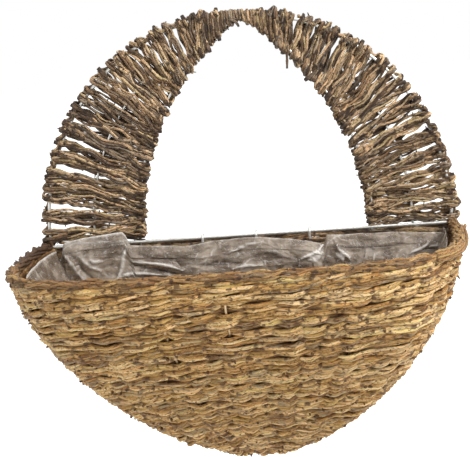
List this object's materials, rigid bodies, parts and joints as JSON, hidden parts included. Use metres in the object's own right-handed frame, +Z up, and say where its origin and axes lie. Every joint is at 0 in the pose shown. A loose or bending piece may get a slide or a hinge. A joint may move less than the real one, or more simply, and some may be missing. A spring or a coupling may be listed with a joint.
{
  "type": "wall basket",
  "caption": "Half-round woven wall basket with a flat back that rises into a pointed carrying arch, a twisted rim, a wire frame and a film liner.",
  "frame": {"origin": "underside of the binding at the arch's peak, in the plane of the back hoop, where the wall hook holds the basket", "axes": "+Z up, +Y into the wall behind the basket, +X to the right as seen from the front, so the bowl swells towards -Y"},
  "size_m": [0.4024, 0.2219, 0.4189],
  "materials": {
    "galvanised_wire": "dull zinc coat",
    "peeled_willow": "peeled twig, unvarnished, with knots",
    "dark_twig": "twig with its bark on",
    "rope_border": "twisted thin twigs",
    "polythene_film": "clear film, creased"
  },
  "bodies": {
    "root": {"back_hoop_wire": "galvanised_wire", "back_rail": "galvanised_wire", "back_weaver_1": "dark_twig", "back_weaver_2": "dark_twig", "back_weaver_3": "dark_twig", "back_weaver_4": "dark_twig", "back_weaver_5": "dark_twig", "front_rib_1": "galvanised_wire", "front_rib_10": "galvanised_wire", "front_rib_11": "galvanised_wire", "front_rib_12": "galvanised_wire", "front_rib_13": "galvanised_wire", "front_rib_2": "galvanised_wire", "front_rib_3": "galvanised_wire", "front_rib_4": "galvanised_wire", "front_rib_5": "galvanised_wire", "front_rib_6": "galvanised_wire", "front_rib_7": "galvanised_wire", "front_rib_8": "galvanised_wire", "front_rib_9": "galvanised_wire", "front_weaver_1": "peeled_willow", "front_weaver_2": "peeled_willow", "front_weaver_3": "peeled_willow", "front_weaver_4": "peeled_willow", "front_weaver_5": "peeled_willow", "front_weaver_6": "peeled_willow", "front_weaver_7": "peeled_willow", "front_weaver_8": "peeled_willow", "left_arch_weaver_1": "dark_twig", "left_arch_weaver_2": "dark_twig", "left_arch_weaver_3": "dark_twig", "left_arch_weaver_4": "dark_twig", "left_arch_weaver_5": "dark_twig", "left_back_upright": "galvanised_wire", "left_inner_arch_wire": "galvanised_wire", "left_middle_arch_wire": "galvanised_wire", "liner": "polythene_film", "middle_back_upright": "galvanised_wire", "peak_binding": "dark_twig", "right_arch_weaver_1": "dark_twig", "right_arch_weaver_2": "dark_twig", "right_arch_weaver_3": "dark_twig", "right_arch_weaver_4": "dark_twig", "right_arch_weaver_5": "dark_twig", "right_back_upright": "galvanised_wire", "right_inner_arch_wire": "galvanised_wire", "right_middle_arch_wire": "galvanised_wire", "rim_rope_strand_inner": "rope_border", "rim_rope_strand_outer": "rope_border", "rim_wire": "galvanised_wire"}
  },
  "joints": []
}
